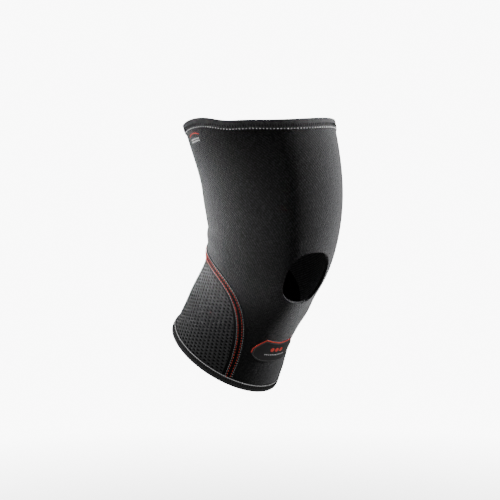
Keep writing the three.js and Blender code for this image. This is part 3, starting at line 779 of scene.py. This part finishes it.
def badge():
    across = np.linspace(-1, 1, 121)
    rows = 48
    low, high = badge_edges(across)
    v = np.linspace(0, 1, rows + 1)
    h = high[:, None] + (low - high)[:, None] * v
    a, t = badge_place(np.repeat(across[:, None], rows + 1, 1), h)
    x = across[:, None] * BADGE_WIDTH / 2
    slope = np.gradient(high, across * BADGE_WIDTH / 2)[:, None], np.gradient(low, across * BADGE_WIDTH / 2)[:, None]
    to_top = (high[:, None] - h) / np.hypot(1, slope[0])
    to_low = (h - low[:, None]) / np.hypot(1, slope[1])
    to_side = (BADGE_WIDTH / 2 - np.abs(x)) * np.ones_like(h)
    edge = np.minimum(np.minimum(to_top, to_low), to_side)
    lift = 0.5 + 0.55 * np.clip(edge / 0.8, 0, 1) ** 0.6
    lift = lift - 0.2 * np.clip((edge - 2.2) / 0.5, 0, 1)
    lift = lift + 0.0 * h
    lift[edge < 0.01] = 0.25
    ids = np.arange(a.size).reshape(a.shape)
    faces = [(int(ids[i, j]), int(ids[i, j + 1]), int(ids[i + 1, j + 1]), int(ids[i + 1, j])) for i in range(120) for j in range(rows)]
    faces = outward(a.ravel(), t.ravel(), faces)
    count = a.size
    top = cloth(a.ravel(), t.ravel(), -lift.ravel())
    under = cloth(a.ravel(), t.ravel(), 0.02)
    seen = {}
    for f in faces:
        for p, q in zip(f, f[1:] + f[:1]):
            seen[(p, q)] = True
    rim = [(p, q) for (p, q) in seen if (q, p) not in seen]
    all_faces = faces + [tuple(i + count for i in reversed(f)) for f in faces] + [(q, p, p + count, q + count) for p, q in rim]
    return make("badge_patch", np.concatenate([top, under]), all_faces, RUBBER, sharp=50)


badge_patch = badge()


def ribbon(name, places, width, low, high, material):
    """A thin raised line over places on the cloth, given as along and angle."""
    a, t = (np.array(v) for v in zip(*places))
    ra, rt = np.gradient(a), np.gradient(t)
    profile = [(-0.5, low), (-0.42, high), (0.42, high), (0.5, low)]
    pts = []
    for k, depth in profile:
        sa, st = sideways(a, t, ra, rt, np.full_like(a, k * width))
        pts.append(cloth(sa, st, np.full_like(a, -depth)))
    pts = np.stack(pts, 1)
    n, m_ = pts.shape[:2]
    faces = [(i * m_ + k, i * m_ + (k + 1) % m_, (i + 1) * m_ + (k + 1) % m_, (i + 1) * m_ + k) for i in range(n - 1) for k in range(m_)]
    faces += [tuple(range(m_ - 1, -1, -1)), tuple((n - 1) * m_ + k for k in range(m_))]
    return make(name, pts.reshape(-1, 3), faces, material, sharp=30)


PRINT_RED, _n, _l, _b = principled("red_ink", (0.80, 0.06, 0.04), 0.5)
_noise = scaled_noise(_n, _l, _n.new("ShaderNodeTexCoord").outputs["Object"], 1400, 3, 0.6)
_l.new(ramp(_n, _l, _noise, [(0.3, (0.82, 0.05, 0.035)), (0.65, (1.0, 0.095, 0.06))]), _b.inputs["Base Color"])
PRINT_WHITE, _n, _l, _b = principled("white_ink", (0.7, 0.7, 0.7), 0.55)
_noise = scaled_noise(_n, _l, _n.new("ShaderNodeTexCoord").outputs["Object"], 1400, 3, 0.6)
_l.new(ramp(_n, _l, _noise, [(0.3, (0.70, 0.70, 0.70)), (0.65, (0.90, 0.90, 0.90))]), _b.inputs["Base Color"])

# The ridge ribbon's lighter grey is a painted highlight on the embossed ridge, not the rubber's own colour
RIDGE_HIGHLIGHT, _n, _l, _b = principled("ridge_painted_highlight", (0.07, 0.07, 0.072), 0.5)
_noise = scaled_noise(_n, _l, _n.new("ShaderNodeTexCoord").outputs["Object"], 700, 3, 0.6)
_l.new(ramp(_n, _l, _noise, [(0.3, (0.06, 0.06, 0.061)), (0.65, (0.14, 0.14, 0.142))]), _b.inputs["Base Color"])

qs = np.linspace(-0.985, 0.985, 121)
tip_low, tip_high = (badge_edges(0.985, 0.95)[k] for k in (0, 1))
tip_drop = np.linspace(0, 1, 12)[:-1] * (tip_high - tip_low)
red_path = ([badge_place(-0.985, tip_low + d) for d in tip_drop] + [badge_place(q, badge_edges(q, 0.95)[1]) for q in qs]
            + [badge_place(0.985, tip_high - d) for d in tip_drop[1:]])
badge_line = ribbon("badge_red_line", red_path, 1.15, 0.7, 1.2, PRINT_RED)
ridge_highlight_path = [badge_place(q * 0.93, badge_edges(q * 0.93, 2.6)[1]) for q in qs] + [badge_place(-q * 0.93, badge_edges(q * 0.93, 1.6)[0]) for q in qs]
badge_ridge_highlight = ribbon("badge_ridge_highlight", ridge_highlight_path + ridge_highlight_path[:1], 0.7, 0.7, 1.2, RIDGE_HIGHLIGHT)


def dots(name, places, radius, base, height, material, sides=10):
    points, faces = [], []
    for a, t in places:
        centre = outer_face(np.array(a), np.array(t))
        down, around, out = slopes(np.array(a), np.array(t))
        u = around / np.linalg.norm(around)
        v = np.cross(out, u)
        start = len(points)
        for r, h in ((1.0, base), (0.92, base + height * 0.75), (0.6, base + height)):
            for k in range(sides):
                turn = 2 * math.pi * k / sides
                points.append(centre + out * h + (u * math.cos(turn) + v * math.sin(turn)) * radius * r)
        for ring_ in (0, 1):
            for k in range(sides):
                n = (k + 1) % sides
                faces.append((start + ring_ * sides + k, start + ring_ * sides + n, start + (ring_ + 1) * sides + n, start + (ring_ + 1) * sides + k))
        faces.append(tuple(start + 2 * sides + k for k in range(sides)))
        faces.append(tuple(start + k for k in range(sides - 1, -1, -1)))
    return make(name, np.array(points), faces, material, sharp=50)


badge_dots = dots("badge_dots", [badge_place(x / (BADGE_WIDTH / 2), 8.6) for x in np.arange(-13.2, 13.3, 2.4)], 0.8, 0.7, 0.35, PRINT_WHITE)
badge_studs = dots("badge_studs", [badge_place(x / (BADGE_WIDTH / 2), 14.6) for x in (-6.2, 0, 6.2)], 2.4, 0.7, 0.45, PRINT_RED, 20)


def top_place(across, down):
    theta = math.radians(-113) + across / THIGH_RADIUS
    return top_hem(theta) + down / SLEEVE_LENGTH, theta


mark_line = ribbon("top_mark_line", [top_place(x, 13.2 + 0.5 * (x / 11) ** 2 * 4) for x in np.linspace(-11, 11, 41)], 0.8, -0.05, 0.14, PRINT_RED)
mark_dots = dots("top_mark_dots", [top_place(x, 19.0 + r * 2.4) for r in range(2) for x in np.arange(-8.4, 8.5, 2.4)], 0.8, -0.05, 0.2, PRINT_WHITE)

# Every piece hangs from the root body, and the model's parts that they stand in for are hidden
pieces = [body, backing, lattice_sheet, seam_strip, *red_rows, *grey_rows, top_band, bottom_band, top_pits, bottom_pits,
          top_white, bottom_white, badge_patch, badge_line, badge_ridge_highlight, badge_dots, badge_studs, mark_line, mark_dots]
for piece in pieces:
    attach(piece, "root")
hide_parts("body_panel")
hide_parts("mesh_panel")
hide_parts("mesh_panel")
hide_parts("arch_seam")
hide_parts("top_binding")
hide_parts("bottom_binding")
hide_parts("badge")

# Cloth sizes before it is stretched on the leg
def outer_area(along, theta, faces):
    p = outer_face(along, theta) * MM
    f = np.array(faces)
    return float(np.linalg.norm(np.cross(p[f[:, 2]] - p[f[:, 0]], p[f[:, 3]] - p[f[:, 1]]), axis=1).sum() / 2)


STRETCH = 1.08  # worn area over cut area
body_area = outer_area(alongs, thetas, quads) / STRETCH
panel_area = outer_area(panel_a.ravel(), panel_t.ravel(), panel_faces) / STRETCH

# Camera at the photograph's viewing angle
AZIMUTH, ELEVATION, DISTANCE = math.radians(-45), math.radians(4), 2400.0
SHOWN = (23.45, 28.5)  # where the bend's middle lands, right and up of the picture's middle
away = Vector((math.sin(AZIMUTH) * math.cos(ELEVATION), -math.cos(AZIMUTH) * math.cos(ELEVATION), math.sin(ELEVATION)))
right = Vector((math.cos(AZIMUTH), math.sin(AZIMUTH), 0))
up = away.cross(right)
bend = Vector((0, float(np.interp(BEND_AT, axis_steps, axis_y)), float(np.interp(BEND_AT, axis_steps, axis_z))))
camera_data = bpy.data.cameras.new("camera")
camera_data.sensor_width = 36
camera_data.sensor_height = 36
camera_data.sensor_fit = "HORIZONTAL"
camera_data.lens = 36 * DISTANCE / 500
camera = bpy.data.objects.new("camera", camera_data)
bpy.context.scene.collection.objects.link(camera)
place = (bend + away * DISTANCE - right * SHOWN[0] - up * SHOWN[1]) * MM
camera.matrix_world = Matrix.Translation(place) @ Matrix((right, up, away)).transposed().to_4x4()
bpy.context.scene.camera = camera


# Studio
def area_light(name, azimuth, elevation, distance, width, height, power, spread=180, aim=0.0):
    data = bpy.data.lights.new(name, "AREA")
    data.shape = "RECTANGLE"
    data.size, data.size_y = width, height
    data.energy = power
    data.spread = math.radians(spread)
    obj = bpy.data.objects.new(name, data)
    a, e = math.radians(azimuth), math.radians(elevation)
    direction = Vector((math.sin(a) * math.cos(e), -math.cos(a) * math.cos(e), math.sin(e)))
    obj.location = direction * distance + Vector((0, 0, aim))
    obj.rotation_euler = direction.to_track_quat("Z", "Y").to_euler()
    bpy.context.scene.collection.objects.link(obj)
    return obj


area_light("left_softbox", -45 - 106, -6, 1.0, 0.4, 0.6, 5.6)
area_light("knee_softbox", -45 - 73, 0, 0.7, 0.08, 0.08, 0.24, spread=17, aim=0.034)
area_light("right_softbox", -45 + 100, 8, 0.8, 0.16, 0.16, 0.52, spread=24, aim=0.074)
area_light("top_softbox", -45, 68, 1.6, 0.9, 0.9, 2)

world = bpy.data.worlds.new("studio")
bpy.context.scene.world = world
world.use_nodes = True
wn, wl = world.node_tree.nodes, world.node_tree.links
background = wn["Background"]
background.inputs["Color"].default_value = (0.93, 0.93, 0.93, 1)
background.inputs["Strength"].default_value = 10.0
dim = wn.new("ShaderNodeBackground")
dim.inputs["Color"].default_value = (0.93, 0.93, 0.93, 1)
dim.inputs["Strength"].default_value = 0.3
path = wn.new("ShaderNodeLightPath")
mix = wn.new("ShaderNodeMixShader")
wl.new(path.outputs["Is Camera Ray"], mix.inputs[0])
wl.new(dim.outputs[0], mix.inputs[1])
wl.new(background.outputs[0], mix.inputs[2])
wl.new(mix.outputs[0], wn["World Output"].inputs["Surface"])

floor_mesh = bpy.data.meshes.new("floor")
ring = [(7 * math.cos(2 * math.pi * k / 96), 7 * math.sin(2 * math.pi * k / 96), -0.30) for k in range(96)]
floor_mesh.from_pydata(ring, [], [tuple(range(96))])
floor = bpy.data.objects.new("floor", floor_mesh)
bpy.context.scene.collection.objects.link(floor)
floor_material = bpy.data.materials.new("floor")
floor_material.use_nodes = True
fn, fl = floor_material.node_tree.nodes, floor_material.node_tree.links
diffuse = fn["Principled BSDF"]
diffuse.inputs["Base Color"].default_value = (0.86, 0.86, 0.86, 1)
diffuse.inputs["Roughness"].default_value = 0.9
glow = fn.new("ShaderNodeEmission")
glow.inputs["Color"].default_value = (0.93, 0.93, 0.93, 1)
glow.inputs["Strength"].default_value = 10.0
spot = fn.new("ShaderNodeNewGeometry")
flat = fn.new("ShaderNodeVectorMath")
flat.operation = "LENGTH"
fl.new(spot.outputs["Position"], flat.inputs[0])
fade = fn.new("ShaderNodeMapRange")
fade.inputs["From Min"].default_value = 0.33
fade.inputs["From Max"].default_value = 0.9
fade.inputs["To Min"].default_value = 0.35
fl.new(flat.outputs["Value"], fade.inputs["Value"])
blend = fn.new("ShaderNodeMixShader")
fl.new(fade.outputs["Result"], blend.inputs[0])
fl.new(diffuse.outputs[0], blend.inputs[1])
fl.new(glow.outputs[0], blend.inputs[2])
fl.new(blend.outputs[0], fn["Material Output"].inputs["Surface"])
floor_mesh.materials.append(floor_material)
floor.visible_diffuse = False
floor.visible_glossy = False
